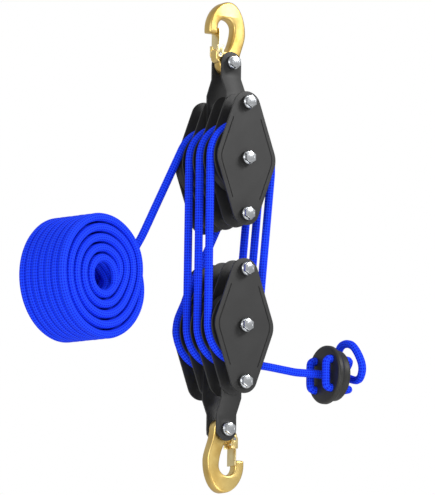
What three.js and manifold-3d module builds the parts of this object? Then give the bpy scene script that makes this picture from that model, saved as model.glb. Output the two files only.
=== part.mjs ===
// A block and tackle: two four-sheave blocks with eye hooks, the rope reeved between them,
// its haul line run down to a round coil, and a laced stopper disc on its standing end.
// Millimetres, +Z up, sheave axes along Y. The origin is the upper hook's saddle.
import * as THREE from "three";
import { mergeVertices } from "three/addons/utils/BufferGeometryUtils.js";
import Module from "manifold-3d";

const wasm = await Module();
wasm.setup();

// Driving dimensions
const ropeDiameter = 9.5;
const seatGap = 0.3;
const cutOverrun = 1;
const axleSpacing = 196.8;
const sheavePitch = 23.3;
const ropePathRadius = 41.9;

// Side plates
const plateThickness = 2;
const plateHalfWidth = 40;
const plateHalfHeight = 79;
const plateEndRadius = 18.5;
const plateSideRadius = 27;
const endBoltInset = 13;
const endBoltReach = plateHalfHeight - endBoltInset;
const grooveInset = 4.8;
const grooveWidth = 1.4;
const grooveDepth = 0.6;
const grooveStartShare = 0.3;
const bossRadius = 8;
const bossHeight = 4.6;

// Bolts and nuts
const boltDiameter = 8;
const headAcrossFlats = 13;
const headHeight = 5.5;
const headFlangeDiameter = 16;
const headFlangeThickness = 1.5;
const nutHeight = 6.5;
const boltEndProud = 2.5;

// Sheaves and bearings
const sheaveWidth = 14.6;
const sheaveRadius = 41.5;
const flangeTipWidth = 1.2;
const webThickness = 5;
const hubRadius = 16;
const rimInnerRadius = 33;
const webBlend = 1;
const bearingRadius = 11;
const bearingWidth = 12;
const bushRadius = 6.5;

// Straps that carry the hooks
const strapThickness = 2.5;
const strapWidth = 27;
const strapHookSpacing = 20.7;
const hookBoltReach = 118;
const joggleStart = 82;
const joggleLength = 18;

// Hooks and latches
const eyeDrop = 53;
const eyeRadius = 13.5;
const hookThickness = 14;
const mouthReach = 16;
const bowlRadius = 11;
const crownThickness = 20.7;
const backArmWidth = 16;
const tipWidth = 12;
const tipDrop = 18.5;
const shoulderDrop = 38.5;
const shoulderReach = 18.5;
const latchThickness = 1.8;
const latchEarThickness = 1.3;
const latchEarRadius = 4.5;
const latchTop = 12;
const latchFoot = 36.5;
const latchPinDrop = 43;
const latchPinReach = 13.5;
const latchPinRadius = 1.75;
const springWire = 1;
const springLength = 5;

// Rope ends
const haulLean = THREE.MathUtils.degToRad(26);
const leadLength = 14;
const discRadius = 34.5;
const discRearRadius = 30;
const discThickness = 20;
const discRimRound = 3;
const discHoleReach = 17;
const laceBendRadius = 7;
const coilRadius = 72.5;
const coilHoleRadius = 16.5;
const coilDepth = 70.5;
const coilYaw = THREE.MathUtils.degToRad(16.6);

// Worked out from the driving dimensions
const ropeRadius = ropeDiameter / 2;
const boltRadius = boltDiameter / 2;
const holeRadius = boltRadius + seatGap;
const plateCount = 5;
const sheaveCount = plateCount - 1;
const blockHalfDepth = ((plateCount - 1) * sheavePitch) / 2 + plateThickness / 2;
const bayHalfWidth = (sheavePitch - plateThickness) / 2;
const sheaveHalf = sheaveWidth / 2;
const strapY = sheavePitch - plateThickness / 2 - seatGap - strapThickness / 2;
const strapInnerFace = strapY - strapThickness / 2;
const strapHookY = strapHookSpacing / 2;
const upperAxleZ = -eyeDrop - hookBoltReach;
const lowerAxleZ = upperAxleZ - axleSpacing;
const lowerSaddleZ = lowerAxleZ - hookBoltReach - eyeDrop;
const boltSides = 12;
const latheSides = 16;
const ropeSides = 8;
const wrapStep = THREE.MathUtils.degToRad(20);
const laceStep = THREE.MathUtils.degToRad(32);

// Materials, one per finish
const finish = (color, roughness, metalness) =>
  new THREE.MeshStandardMaterial({ color, roughness, metalness });
const blackPaint = finish(0x333333, 0.45, 0.3);
const blackNylon = finish(0x1c1c1b, 0.5, 0);
const brightSteel = finish(0xd2d4d6, 0.25, 1);
const bearingSteel = finish(0xa8a9ab, 0.3, 1);
const yellowZinc = finish(0xd9b24a, 0.3, 1);
const paleZinc = finish(0xe6cf8c, 0.35, 1);
const springSteel = finish(0x8f8f90, 0.35, 1);
const blueRope = finish(0x1c48e0, 0.8, 0);

// Turns a closed three.js geometry into a solid, with its faces pointing out.
function solid(geometry) {
  const bare = geometry.clone();
  bare.deleteAttribute("normal");
  bare.deleteAttribute("uv");
  const merged = mergeVertices(bare, 1e-4);
  const vertices = merged.attributes.position.array;
  const triangles = new Uint32Array(merged.index.array);
  if (signedVolume(vertices, triangles) < 0) {
    for (let i = 0; i < triangles.length; i += 3) {
      const first = triangles[i];
      triangles[i] = triangles[i + 1];
      triangles[i + 1] = first;
    }
  }
  return new wasm.Manifold(
    new wasm.Mesh({ numProp: 3, vertProperties: vertices, triVerts: triangles }),
  );
}

function signedVolume(vertices, triangles) {
  const [a, b, c] = [new THREE.Vector3(), new THREE.Vector3(), new THREE.Vector3()];
  let total = 0;
  for (let i = 0; i < triangles.length; i += 3) {
    a.fromArray(vertices, 3 * triangles[i]);
    b.fromArray(vertices, 3 * triangles[i + 1]);
    c.fromArray(vertices, 3 * triangles[i + 2]);
    total += a.dot(b.cross(c));
  }
  return total;
}

// Turns a solid into a named mesh.
function meshOf(name, body, material) {
  const made = body.getMesh();
  const geometry = new THREE.BufferGeometry();
  geometry.setAttribute("position", new THREE.BufferAttribute(new Float32Array(made.vertProperties), 3));
  geometry.setIndex(new THREE.BufferAttribute(new Uint32Array(made.triVerts), 1));
  geometry.computeVertexNormals();
  const mesh = new THREE.Mesh(geometry, material);
  mesh.name = name;
  return mesh;
}

// A shape drawn in X and Z, extruded along Y about y = 0.
function slab(shape, thickness, segments = 3) {
  const geometry = new THREE.ExtrudeGeometry(shape, {
    depth: thickness,
    bevelEnabled: false,
    curveSegments: segments,
  });
  return geometry.rotateX(Math.PI / 2).translate(0, thickness / 2, 0);
}

// A cylinder whose axis runs along Y from one end to the other.
function rod(radius, yStart, yEnd, sides = boltSides, x = 0, z = 0) {
  const geometry = new THREE.CylinderGeometry(radius, radius, yEnd - yStart, sides);
  return solid(geometry.translate(x, (yStart + yEnd) / 2, z));
}

// A profile of radius and height turned about Y.
function turned(profile, sides) {
  const points = profile.map(([radius, y]) => new THREE.Vector2(radius, y));
  return solid(new THREE.LatheGeometry(points, sides));
}

// Side plate outline: two end circles and two side circles joined by their common tangents
const endCentre = plateHalfHeight - plateEndRadius;
const sideCentre = plateHalfWidth - plateSideRadius;
const tangentAngle =
  Math.acos((plateEndRadius - plateSideRadius) / Math.hypot(sideCentre, endCentre)) -
  Math.atan2(endCentre, sideCentre);

function plateOutline() {
  const outline = new THREE.Shape();
  const a = tangentAngle;
  outline.absarc(sideCentre, 0, plateSideRadius, -a, a, false);
  outline.absarc(0, endCentre, plateEndRadius, a, Math.PI - a, false);
  outline.absarc(-sideCentre, 0, plateSideRadius, Math.PI - a, Math.PI + a, false);
  outline.absarc(0, -endCentre, plateEndRadius, Math.PI + a, 2 * Math.PI - a, false);
  outline.closePath();
  return outline;
}

// The stamped groove that follows one side of the plate, just inside its border.
function grooveOutline(side) {
  const edges = [grooveInset, grooveInset + grooveWidth].map((inset) => {
    const along = (radius, angle, x, z) =>
      new THREE.Vector2(x + (radius - inset) * Math.cos(angle), z + (radius - inset) * Math.sin(angle));
    const top = along(plateEndRadius, tangentAngle, 0, endCentre);
    const bend = along(plateSideRadius, tangentAngle, sideCentre, 0);
    const start = top.clone().lerp(bend, grooveStartShare);
    const arcSteps = 6;
    const arc = Array.from({ length: arcSteps + 1 }, (_, i) =>
      along(plateSideRadius, tangentAngle * (1 - (2 * i) / arcSteps), sideCentre, 0),
    );
    return [start, ...arc, new THREE.Vector2(start.x, -start.y)];
  });
  const loop = [...edges[0], ...edges[1].reverse()];
  return new THREE.Shape(loop.map((p) => new THREE.Vector2(side * p.x, p.y)));
}

const plateBoltHeights = [endBoltReach, 0, -endBoltReach];

function dividerPlate() {
  const cuts = plateBoltHeights.map((z) =>
    rod(holeRadius, -plateThickness - cutOverrun, plateThickness + cutOverrun, boltSides, 0, z),
  );
  return cuts.reduce((body, cut) => body.subtract(cut), solid(slab(plateOutline(), plateThickness)));
}

// An outer plate, with a raised boss round each bolt and two grooves on its -Y face.
function outerPlate() {
  const face = -plateThickness / 2;
  let body = solid(slab(plateOutline(), plateThickness));
  for (const z of plateBoltHeights) {
    body = body.add(rod(bossRadius, face - bossHeight, 0, latheSides, 0, z));
  }
  for (const z of plateBoltHeights) {
    const reach = plateThickness + bossHeight + cutOverrun;
    body = body.subtract(rod(holeRadius, -reach, reach, boltSides, 0, z));
  }
  for (const side of [-1, 1]) {
    const depth = 2 * grooveDepth;
    body = body.subtract(solid(slab(grooveOutline(side), depth).translate(0, face, 0)));
  }
  return body;
}

// A rope sheave: hub, recessed web and grooved rim.
function sheave() {
  const bore = bearingRadius + seatGap;
  const grooveFloor = ropePathRadius - ropeRadius - seatGap;
  const grooveCorner = grooveFloor + webBlend;
  const cornerHalf = ropeRadius + seatGap / 2;
  const lip = sheaveHalf - flangeTipWidth;
  const webHalf = webThickness / 2;
  const half = [
    [bore, sheaveHalf],
    [hubRadius, sheaveHalf],
    [hubRadius + webBlend, webHalf],
    [rimInnerRadius - webBlend, webHalf],
    [rimInnerRadius, sheaveHalf],
    [sheaveRadius, sheaveHalf],
    [sheaveRadius, lip],
    [grooveCorner, cornerHalf],
  ];
  const lower = half.map(([radius, y]) => [radius, -y]);
  return turned([...lower, [grooveFloor, 0], ...half.reverse(), lower[0]], latheSides);
}

// A ball bearing pressed on its bush, with the bush reaching towards the plates on both sides.
function bearing(bushStart, bushEnd) {
  const half = bearingWidth / 2;
  const profile = [
    [holeRadius, bushStart],
    [bushRadius, bushStart],
    [bushRadius, -half],
    [bearingRadius, -half],
    [bearingRadius, half],
    [bushRadius, half],
    [bushRadius, bushEnd],
    [holeRadius, bushEnd],
    [holeRadius, bushStart],
  ];
  return turned(profile, boltSides);
}

// A hex head or nut with its round flange against the seat at yFlange, rising towards yTop.
function hexWithFlange(yFlange, yTop) {
  const across = headAcrossFlats / Math.sqrt(3);
  const middle = (yFlange + yTop) / 2;
  const hex = new THREE.CylinderGeometry(across, across, Math.abs(yTop - yFlange), 6);
  const flangeEnd = yFlange + Math.sign(yTop - yFlange) * headFlangeThickness;
  const [low, high] = [Math.min(yFlange, flangeEnd), Math.max(yFlange, flangeEnd)];
  const flange = rod(headFlangeDiameter / 2, low, high);
  return solid(hex.rotateY(Math.PI / 6).translate(0, middle, 0)).add(flange);
}

function bolt(halfStack) {
  const headSeat = -halfStack - seatGap;
  const end = halfStack + seatGap + nutHeight + boltEndProud;
  return hexWithFlange(headSeat, headSeat - headHeight).add(rod(boltRadius, headSeat - cutOverrun, end));
}

function nut(halfStack) {
  const seat = halfStack + seatGap;
  const bore = rod(holeRadius, seat - cutOverrun, seat + nutHeight + cutOverrun);
  return hexWithFlange(seat, seat + nutHeight).subtract(bore);
}

// A hook strap: flat beside the sheaves, joggled in towards the hook, with a boss at the hook bolt.
function strap() {
  const end = strapWidth / 2;
  const centreLine = [
    [strapY, -end],
    [strapY, joggleStart],
    [strapHookY, joggleStart + joggleLength],
    [strapHookY, hookBoltReach + end],
  ];
  const half = strapThickness / 2;
  const outer = centreLine.map(([y, z]) => new THREE.Vector2(y + half, z));
  const inner = centreLine.map(([y, z]) => new THREE.Vector2(y - half, z)).reverse();
  const side = new THREE.ExtrudeGeometry(new THREE.Shape([...outer, ...inner]), {
    depth: strapWidth,
    bevelEnabled: false,
  });
  // Carries the drawing's first axis to Y, its second to Z, and the extrusion to X
  const turn = new THREE.Matrix4().makeBasis(
    new THREE.Vector3(0, 1, 0),
    new THREE.Vector3(0, 0, 1),
    new THREE.Vector3(1, 0, 0),
  );
  side.applyMatrix4(turn).translate(-end, 0, 0);
  const round = new THREE.Shape();
  round.absarc(0, hookBoltReach, end, 0, Math.PI, false);
  round.absarc(0, 0, end, Math.PI, 2 * Math.PI, false);
  round.closePath();
  const depth = 2 * (strapY + strapThickness);
  let body = solid(side).intersect(solid(slab(round, 2 * depth, 5)));
  const bossFace = strapHookY + half + bossHeight;
  body = body.add(rod(bossRadius, strapHookY, bossFace, latheSides, 0, hookBoltReach));
  for (const z of [0, endBoltReach, hookBoltReach]) {
    body = body.subtract(rod(holeRadius, -depth, depth, boltSides, 0, z));
  }
  return body;
}

// Hook outline, saddle at the origin, eye below it, mouth towards -X.
function hookOutline() {
  const outline = new THREE.Shape();
  const handleShare = 0.55;
  const throatShare = 0.2;
  const bowlX = bowlRadius - mouthReach;
  const bowlRight = bowlX + bowlRadius;
  const outerRight = bowlRight + backArmWidth;
  const outerLeft = -mouthReach - tipWidth;
  const shoulderRound = eyeRadius / 5;
  const tipRound = tipWidth / 4;
  const across = handleShare * outerRight;
  outline.moveTo(eyeRadius, -eyeDrop);
  outline.bezierCurveTo(
    eyeRadius, -eyeDrop + across, outerRight, -mouthReach - across, outerRight, -mouthReach,
  );
  outline.bezierCurveTo(
    outerRight, -mouthReach + handleShare * (mouthReach + crownThickness),
    across, crownThickness, 0, crownThickness,
  );
  outline.bezierCurveTo(
    handleShare * outerLeft, crownThickness,
    outerLeft, -mouthReach + handleShare * (mouthReach + crownThickness), outerLeft, -mouthReach + tipRound,
  );
  outline.quadraticCurveTo(outerLeft, -tipDrop, outerLeft + tipRound, -tipDrop);
  outline.lineTo(-mouthReach - tipRound, -tipDrop);
  outline.quadraticCurveTo(-mouthReach, -tipDrop, -mouthReach, -mouthReach);
  outline.absarc(bowlX, -bowlRadius, bowlRadius, Math.PI, 0, true);
  outline.bezierCurveTo(
    bowlRight, -bowlRadius - bowlRight,
    throatShare * mouthReach, (throatShare - 1) * shoulderDrop, -shoulderRound, -shoulderDrop,
  );
  outline.lineTo(-shoulderReach + shoulderRound, -shoulderDrop);
  outline.quadraticCurveTo(-shoulderReach, -shoulderDrop, -shoulderReach, -shoulderDrop - shoulderRound);
  outline.quadraticCurveTo(-shoulderReach, -eyeDrop + shoulderRound, -eyeRadius, -eyeDrop);
  outline.absarc(0, -eyeDrop, eyeRadius, Math.PI, 2 * Math.PI, false);
  outline.closePath();
  return outline;
}

// The same outline as straight steps, with no point twice.
function steppedOutline(outline, segments) {
  const points = outline.getPoints(segments);
  const kept = points.filter((p, i) => p.distanceTo(points[(i + 1) % points.length]) > seatGap);
  return new THREE.Shape(kept);
}

function hook() {
  const geometry = slab(steppedOutline(hookOutline(), 6), hookThickness);
  const through = hookThickness + cutOverrun;
  const springRadius = latchPinRadius + seatGap + springWire;
  const pocketReach = springRadius + 2 * seatGap;
  const pocket = rod(pocketReach, -springLength / 2 - seatGap, springLength / 2 + seatGap, boltSides,
    -latchPinReach, -latchPinDrop);
  const slotHeight = shoulderDrop - latchPinDrop;
  const slot = new THREE.BoxGeometry(2 * pocketReach, springLength + 2 * seatGap, -2 * slotHeight);
  slot.translate(-latchPinReach, 0, -shoulderDrop);
  return solid(geometry)
    .subtract(rod(holeRadius, -through, through, boltSides, 0, -eyeDrop))
    .subtract(rod(latchPinRadius + seatGap, -through, through, boltSides, -latchPinReach, -latchPinDrop))
    .subtract(pocket)
    .subtract(solid(slot));
}

// The sheet latch: a strip across the mouth with an ear on each side of the hook's shoulder.
function latch() {
  const innerFace = hookThickness / 2 + seatGap;
  const outerFace = innerFace + latchEarThickness;
  const stripOuter = -mouthReach + seatGap;
  const strip = new THREE.BoxGeometry(latchThickness, 2 * outerFace, latchFoot - latchTop);
  strip.translate(stripOuter + latchThickness / 2, 0, -(latchFoot + latchTop) / 2);
  let body = solid(strip);
  for (const side of [-1, 1]) {
    const middle = (side * (innerFace + outerFace)) / 2;
    const ear = new THREE.BoxGeometry(2 * latchEarRadius, latchEarThickness, latchPinDrop - latchFoot + latchEarRadius);
    ear.translate(-latchPinReach, middle, -(latchPinDrop + latchFoot - latchEarRadius) / 2);
    const ends = [middle - latchEarThickness / 2, middle + latchEarThickness / 2];
    body = body.add(solid(ear)).add(rod(latchEarRadius, ...ends, boltSides, -latchPinReach, -latchPinDrop));
  }
  const reach = outerFace + cutOverrun;
  return body.subtract(
    rod(latchPinRadius + seatGap, -reach, reach, boltSides, -latchPinReach, -latchPinDrop),
  );
}

function latchPin() {
  const end = hookThickness / 2 + seatGap + latchEarThickness;
  return rod(latchPinRadius, -end, end, boltSides, -latchPinReach, -latchPinDrop);
}

function latchSpring() {
  const inner = latchPinRadius + seatGap;
  const half = springLength / 2;
  const ring = rod(inner + springWire, -half, half).subtract(rod(inner, -springLength, springLength));
  return ring.translate([-latchPinReach, 0, -latchPinDrop]);
}

// One block in its own frame: axle at the origin, hook side up, bolt heads on the -Y side.
function block(prefix) {
  const group = new THREE.Group();
  const place = (name, body, material, y = 0) => {
    const mesh = meshOf(`${prefix}_${name}`, body, material);
    mesh.position.y = y;
    group.add(mesh);
    return mesh;
  };
  for (let i = 0; i < plateCount; i++) {
    const outside = i === 0 || i === plateCount - 1;
    const y = (i - (plateCount - 1) / 2) * sheavePitch;
    const plate = place(`plate_${i + 1}`, outside ? outerPlate() : dividerPlate(), blackPaint, y);
    plate.rotation.z = i === plateCount - 1 ? Math.PI : 0;
  }
  for (let i = 0; i < sheaveCount; i++) {
    const y = (i - (sheaveCount - 1) / 2) * sheavePitch;
    place(`sheave_${i + 1}`, sheave(), blackNylon, y);
    const besideStrap = Math.abs(y) < sheavePitch;
    const toPlate = bayHalfWidth - seatGap;
    const toStrap = strapInnerFace - Math.abs(y) - seatGap;
    const outward = besideStrap ? toStrap : toPlate;
    const [start, end] = y < 0 ? [-outward, toPlate] : [-toPlate, outward];
    place(`bearing_${i + 1}`, bearing(start, end), bearingSteel, y);
  }
  place("strap_front", strap(), blackPaint).rotation.z = Math.PI;
  place("strap_back", strap(), blackPaint);
  const fullStack = blockHalfDepth + bossHeight;
  const hookStack = strapHookY + strapThickness / 2 + bossHeight;
  const bolts = [
    ["hook_bolt", hookBoltReach, hookStack],
    ["strap_bolt", endBoltReach, fullStack],
    ["axle_bolt", 0, fullStack],
    ["tie_bolt", -endBoltReach, fullStack],
  ];
  for (const [name, z, halfStack] of bolts) {
    place(name, bolt(halfStack), brightSteel).position.z = z;
    place(`${name}_nut`, nut(halfStack), brightSteel).position.z = z;
  }
  return group;
}

// One hook in its own frame, saddle at the origin.
function hookSet(prefix) {
  const group = new THREE.Group();
  group.add(meshOf(`${prefix}_hook`, hook(), yellowZinc));
  group.add(meshOf(`${prefix}_latch`, latch(), paleZinc));
  group.add(meshOf(`${prefix}_latch_pin`, latchPin(), brightSteel));
  group.add(meshOf(`${prefix}_latch_spring`, latchSpring(), springSteel));
  return group;
}

// A closed tube with one ring of vertices at each point of its path.
function tube(path, radius, sides = ropeSides) {
  const positions = [];
  const indices = [];
  const normal = new THREE.Vector3();
  const last = path.length - 1;
  const directions = path.map((point, i) => {
    const before = path[Math.max(i - 1, 0)];
    const after = path[Math.min(i + 1, last)];
    const into = point.clone().sub(before).normalize();
    const out = after.clone().sub(point).normalize();
    return into.add(out).normalize();
  });
  const helper = Math.abs(directions[0].y) < 0.9 ? new THREE.Vector3(0, 1, 0) : new THREE.Vector3(1, 0, 0);
  normal.crossVectors(directions[0], helper).normalize();
  path.forEach((point, i) => {
    const direction = directions[i];
    normal.addScaledVector(direction, -normal.dot(direction)).normalize();
    const across = new THREE.Vector3().crossVectors(direction, normal);
    for (let k = 0; k < sides; k++) {
      const angle = (2 * Math.PI * k) / sides;
      const spoke = normal.clone().multiplyScalar(Math.cos(angle)).addScaledVector(across, Math.sin(angle));
      positions.push(...point.clone().addScaledVector(spoke, radius).toArray());
    }
    if (i === 0) return;
    for (let k = 0; k < sides; k++) {
      const next = (k + 1) % sides;
      const [a, b] = [(i - 1) * sides + k, (i - 1) * sides + next];
      indices.push(a, b, b + sides, a, b + sides, a + sides);
    }
  });
  for (let k = 1; k < sides - 1; k++) {
    indices.push(0, k + 1, k);
    indices.push(last * sides, last * sides + k, last * sides + k + 1);
  }
  const geometry = new THREE.BufferGeometry();
  geometry.setAttribute("position", new THREE.BufferAttribute(new Float32Array(positions), 3));
  geometry.setIndex(indices);
  return solid(geometry);
}

// Rounds each inner corner of a path of points with an arc of the given radius.
function roundedPath(corners, radius) {
  const path = [corners[0]];
  for (let i = 1; i < corners.length - 1; i++) {
    const corner = corners[i];
    const back = corners[i - 1].clone().sub(corner).normalize();
    const ahead = corners[i + 1].clone().sub(corner).normalize();
    const turn = Math.PI - back.angleTo(ahead);
    const steps = Math.max(1, Math.round(turn / laceStep));
    const trim = radius * Math.tan(turn / 2);
    const middle = back.clone().add(ahead).normalize();
    const centre = corner.clone().addScaledVector(middle, radius / Math.cos(turn / 2));
    const from = corner.clone().addScaledVector(back, trim).sub(centre);
    const pivot = new THREE.Vector3().crossVectors(ahead, back).normalize().negate();
    for (let k = 0; k <= steps; k++) {
      const swung = from.clone().applyAxisAngle(pivot, (-turn * k) / steps);
      path.push(swung.add(centre));
    }
  }
  path.push(corners[corners.length - 1]);
  return path;
}

// The rope round one sheave: corners of the polygon whose sides touch the rope's path circle.
function wrap(y, z, from, to) {
  const steps = Math.max(1, Math.round(Math.abs(to - from) / wrapStep));
  const step = (to - from) / steps;
  const radius = ropePathRadius / Math.cos(step / 2);
  return Array.from({ length: steps }, (_, i) => {
    const angle = from + (i + 1 / 2) * step;
    return new THREE.Vector3(radius * Math.cos(angle), y, z + radius * Math.sin(angle));
  });
}

// Rope layout
const bayY = (index) => (index - (sheaveCount - 1) / 2) * sheavePitch;
const lastBay = sheaveCount - 1;
const crossAngle = Math.asin((2 * ropePathRadius) / axleSpacing);
const departure = Math.PI - haulLean;

// The reeved rope, from its standing end under the first lower sheave to the last upper sheave.
function reevedPath() {
  const path = [new THREE.Vector3(0, bayY(0), lowerAxleZ - ropePathRadius)];
  path.push(...wrap(bayY(0), lowerAxleZ, -Math.PI / 2, -Math.PI));
  for (let i = 0; i < lastBay; i++) {
    path.push(...wrap(bayY(i), upperAxleZ, Math.PI, 0));
    path.push(new THREE.Vector3(ropePathRadius, bayY(i), upperAxleZ - leadLength));
    path.push(new THREE.Vector3(ropePathRadius, bayY(i + 1), lowerAxleZ + leadLength));
    const end = i + 1 === lastBay ? -Math.PI - crossAngle : -Math.PI;
    path.push(...wrap(bayY(i + 1), lowerAxleZ, 0, end));
  }
  path.push(...wrap(bayY(lastBay), upperAxleZ, -crossAngle, departure));
  path.push(onCircle(bayY(lastBay), upperAxleZ, departure));
  return path;
}

function onCircle(y, z, angle) {
  return new THREE.Vector3(ropePathRadius * Math.cos(angle), y, z + ropePathRadius * Math.sin(angle));
}

// The haul line, chosen by hand: from the last upper sheave down to the back layer of the coil.
const haulCorners = [
  onCircle(bayY(lastBay), upperAxleZ, departure).add(
    new THREE.Vector3(-seatGap * Math.sin(haulLean), 0, -seatGap * Math.cos(haulLean)),
  ),
  new THREE.Vector3(-90.3, 35, -260.5),
  new THREE.Vector3(-149.4, 34.6, -359.3),
];
const coilCentre = new THREE.Vector3(-196.9, -11.4, -325.7);
const haulBendRadius = 3 * coilRadius;

// The stopper disc on its axis along +X, front face at the frame's origin.
const laceHoles = [
  [0, 0],
  [-discHoleReach, discHoleReach],
  [-discHoleReach, -discHoleReach],
  [discHoleReach, -discHoleReach],
  [discHoleReach, discHoleReach],
];

function stopperDisc() {
  const waist = (discRadius + discRearRadius) / 2 - discRimRound / 2;
  const profile = [
    [0, 0],
    [discRadius - discRimRound, 0],
    [discRadius, discRimRound],
    [discRadius, 2 * discRimRound],
    [waist, 3 * discRimRound],
    [waist - discRimRound / 2, discThickness / 2 + discRimRound / 2],
    [discRearRadius, discThickness - discRimRound],
    [discRearRadius - discRimRound, discThickness],
    [0, discThickness],
  ];
  const sides = 20;
  const along = new THREE.Matrix4().makeRotationZ(-Math.PI / 2);
  const points = profile.map(([radius, x]) => new THREE.Vector2(radius, x));
  let body = solid(new THREE.LatheGeometry(points, sides).applyMatrix4(along));
  for (const [y, z] of laceHoles) {
    const hole = new THREE.CylinderGeometry(
      ropeRadius + 2 * seatGap, ropeRadius + 2 * seatGap, 3 * discThickness, boltSides,
    );
    body = body.subtract(solid(hole.applyMatrix4(along).translate(0, y, z)));
  }
  return body;
}

// The stopper line's corners, chosen by hand, from the disc's front face round its five holes.
const discFace = new THREE.Vector3(118, bayY(0), -414.8);
const behind = discThickness + laceBendRadius;
const before = -laceBendRadius;
const laceCorners = [
  [behind, 0, 0],
  [behind, -discHoleReach, discHoleReach],
  [before, -discHoleReach, discHoleReach],
  [before, -discHoleReach, -discHoleReach],
  [behind, -discHoleReach, -discHoleReach],
  [behind, discHoleReach, -discHoleReach],
  [before, discHoleReach, -discHoleReach],
  [before, discHoleReach, discHoleReach],
  [behind + 2, discHoleReach, discHoleReach],
  [behind + 4, 12, 40],
  [behind + 4, -16, 38],
  [behind + 12, -28, 10],
  [behind + 14, -16, -8],
  [behind + 12, 14, 2],
  [behind - 6, 47, 21],
].map((corner) => new THREE.Vector3(...corner).add(discFace));

const stopperLead = [
  new THREE.Vector3(seatGap, bayY(0), lowerAxleZ - ropePathRadius),
  new THREE.Vector3(40, bayY(0), -411.6),
  new THREE.Vector3(80, bayY(0), -415.4),
  new THREE.Vector3(106, bayY(0), -414.8),
];

// The coil's solid: a ring with a seat for the end of the haul line.
function ropeCoil(haulPath) {
  const half = coilDepth / 2;
  const profile = [
    [coilHoleRadius, -half],
    [coilRadius - ropeRadius, -half],
    [coilRadius, -half + ropeRadius],
    [coilRadius, half - ropeRadius],
    [coilRadius - ropeRadius, half],
    [coilHoleRadius, half],
    [coilHoleRadius, -half],
  ];
  const points = profile.map(([radius, y]) => new THREE.Vector2(radius, y));
  const ring = new THREE.LatheGeometry(points, 24).rotateZ(coilYaw);
  ring.translate(coilCentre.x, coilCentre.y, coilCentre.z);
  const [beforeEnd, end] = haulPath.slice(-2);
  const onward = end.clone().sub(beforeEnd).normalize().multiplyScalar(seatGap).add(end);
  const seat = tube([...haulPath.slice(0, -1), onward], ropeRadius + seatGap);
  return solid(ring).subtract(seat);
}

// Assembly
const haulPath = roundedPath(haulCorners, haulBendRadius);
const stopperPath = [...stopperLead.slice(0, 1), ...roundedPath([...stopperLead.slice(1), ...laceCorners], laceBendRadius)];
const assembly = new THREE.Group();
const upperBlock = block("upper");
upperBlock.position.z = upperAxleZ;
const lowerBlock = block("lower");
lowerBlock.rotation.y = Math.PI;
lowerBlock.position.z = lowerAxleZ;
const upperHook = hookSet("upper");
const lowerHook = hookSet("lower");
lowerHook.rotation.y = Math.PI;
lowerHook.position.z = lowerSaddleZ;
const disc = meshOf("stopper_disc", stopperDisc(), blackNylon);
disc.position.copy(discFace);
assembly.add(upperBlock, lowerBlock, upperHook, lowerHook, disc);
assembly.add(meshOf("reeved_rope", tube(reevedPath(), ropeRadius), blueRope));
assembly.add(meshOf("haul_line", tube(haulPath, ropeRadius), blueRope));
assembly.add(meshOf("rope_coil", ropeCoil(haulPath), blueRope));
assembly.add(meshOf("stopper_line", tube(stopperPath, ropeRadius), blueRope));

export default assembly;
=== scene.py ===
# %% [markdown]
# A block and tackle: two black four-sheave blocks with yellow-zinc eye hooks, one blue braided
# rope reeved between them, a wound coil on the hauling end and a laced stopper disc on the other.
# The CAD frame holds every size and place. This file gives each surface its finish, and models
# again, more finely, the pieces whose solids are coarse.

# %% Load the frame
import math

import bmesh
import bpy
from mathutils import Matrix, Vector


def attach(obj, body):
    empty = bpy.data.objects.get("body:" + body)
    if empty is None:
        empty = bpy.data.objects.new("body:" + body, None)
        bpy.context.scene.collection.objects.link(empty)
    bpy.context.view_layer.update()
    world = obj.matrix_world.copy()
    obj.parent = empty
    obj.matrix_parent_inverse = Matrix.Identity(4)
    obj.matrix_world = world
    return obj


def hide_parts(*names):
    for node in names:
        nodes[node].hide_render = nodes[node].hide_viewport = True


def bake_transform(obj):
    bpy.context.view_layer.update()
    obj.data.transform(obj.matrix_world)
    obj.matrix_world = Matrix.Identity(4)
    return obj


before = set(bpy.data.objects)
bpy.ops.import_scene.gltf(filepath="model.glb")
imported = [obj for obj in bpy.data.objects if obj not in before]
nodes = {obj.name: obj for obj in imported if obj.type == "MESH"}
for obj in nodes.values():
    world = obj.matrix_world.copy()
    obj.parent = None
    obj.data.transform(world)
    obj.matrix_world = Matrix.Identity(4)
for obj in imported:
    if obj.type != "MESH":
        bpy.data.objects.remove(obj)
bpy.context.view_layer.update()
MM = 0.001

# %% [markdown]
# The finer pieces need the CAD's own sizes. They could be measured from the solids, but a size with
# a name can be read, so they are repeated here in millimetres. Each block and each hook is modelled
# once, in its own frame, and the lower one is the upper one turned over.

# %% Sizes
ROPE_DIAMETER = 9.5
ROPE_RADIUS = ROPE_DIAMETER / 2
AXLE_SPACING = 196.8
PITCH = 23.3
PATH_RADIUS = 41.9
UPPER_AXLE = -171.0
LOWER_AXLE = UPPER_AXLE - AXLE_SPACING
HOOK_BOLT = 118.0
EYE_DROP = 53.0
LOWER_SADDLE = LOWER_AXLE - HOOK_BOLT - EYE_DROP
GAP = 0.3
SHEAVES = 4
PLATES = SHEAVES + 1
TURNED_OVER = Matrix.Rotation(math.pi, 4, "Y")


def shift(x, y, z):
    """A move given in millimetres."""
    return Matrix.Translation((x * MM, y * MM, z * MM))


def bay(i):
    """The y of a sheave's middle."""
    return (i - (SHEAVES - 1) / 2) * PITCH


BLOCKS = {"upper": shift(0, 0, UPPER_AXLE), "lower": shift(0, 0, LOWER_AXLE) @ TURNED_OVER}
HOOKS = {"upper": Matrix.Identity(4), "lower": shift(0, 0, LOWER_SADDLE) @ TURNED_OVER}
print("lower saddle at", LOWER_SADDLE, "mm")

# %% [markdown]
# The photograph looks up a little at the blocks from their front left, through a long lens. A
# camera can be aimed with a constraint, but here its roll and its offset matter too. So its three
# axes are built from the azimuth, the elevation and a slight roll, and its lens from the scale.

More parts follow.
